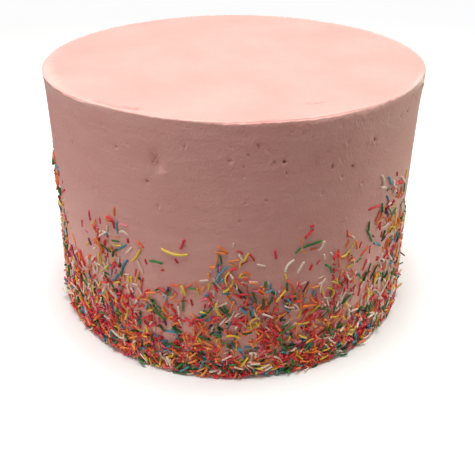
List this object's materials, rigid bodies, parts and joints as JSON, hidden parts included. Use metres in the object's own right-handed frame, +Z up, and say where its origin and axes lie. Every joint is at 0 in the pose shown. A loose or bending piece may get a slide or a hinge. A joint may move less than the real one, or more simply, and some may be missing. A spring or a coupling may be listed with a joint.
{
  "type": "tall round mud cake",
  "caption": "Tall round uncut mud cake in smooth pink buttercream, with coloured sugar strands pressed thickly round its foot.",
  "frame": {"origin": "middle of the flat base that the cake stands on", "axes": "+Z up through the middle of the cake, -Y towards the side shown in the picture, +X to its right"},
  "size_m": [0.2208, 0.2193, 0.1469],
  "materials": {
    "buttercream": "matte",
    "strand_red": "satin",
    "strand_scarlet": "satin",
    "strand_pink": "satin",
    "strand_orange": "satin",
    "strand_yellow": "satin",
    "strand_green": "satin",
    "strand_blue": "satin",
    "strand_white": "satin",
    "strand_plum": "satin"
  },
  "bodies": {
    "root": {"iced_cake": "buttercream"}
  },
  "joints": []
}
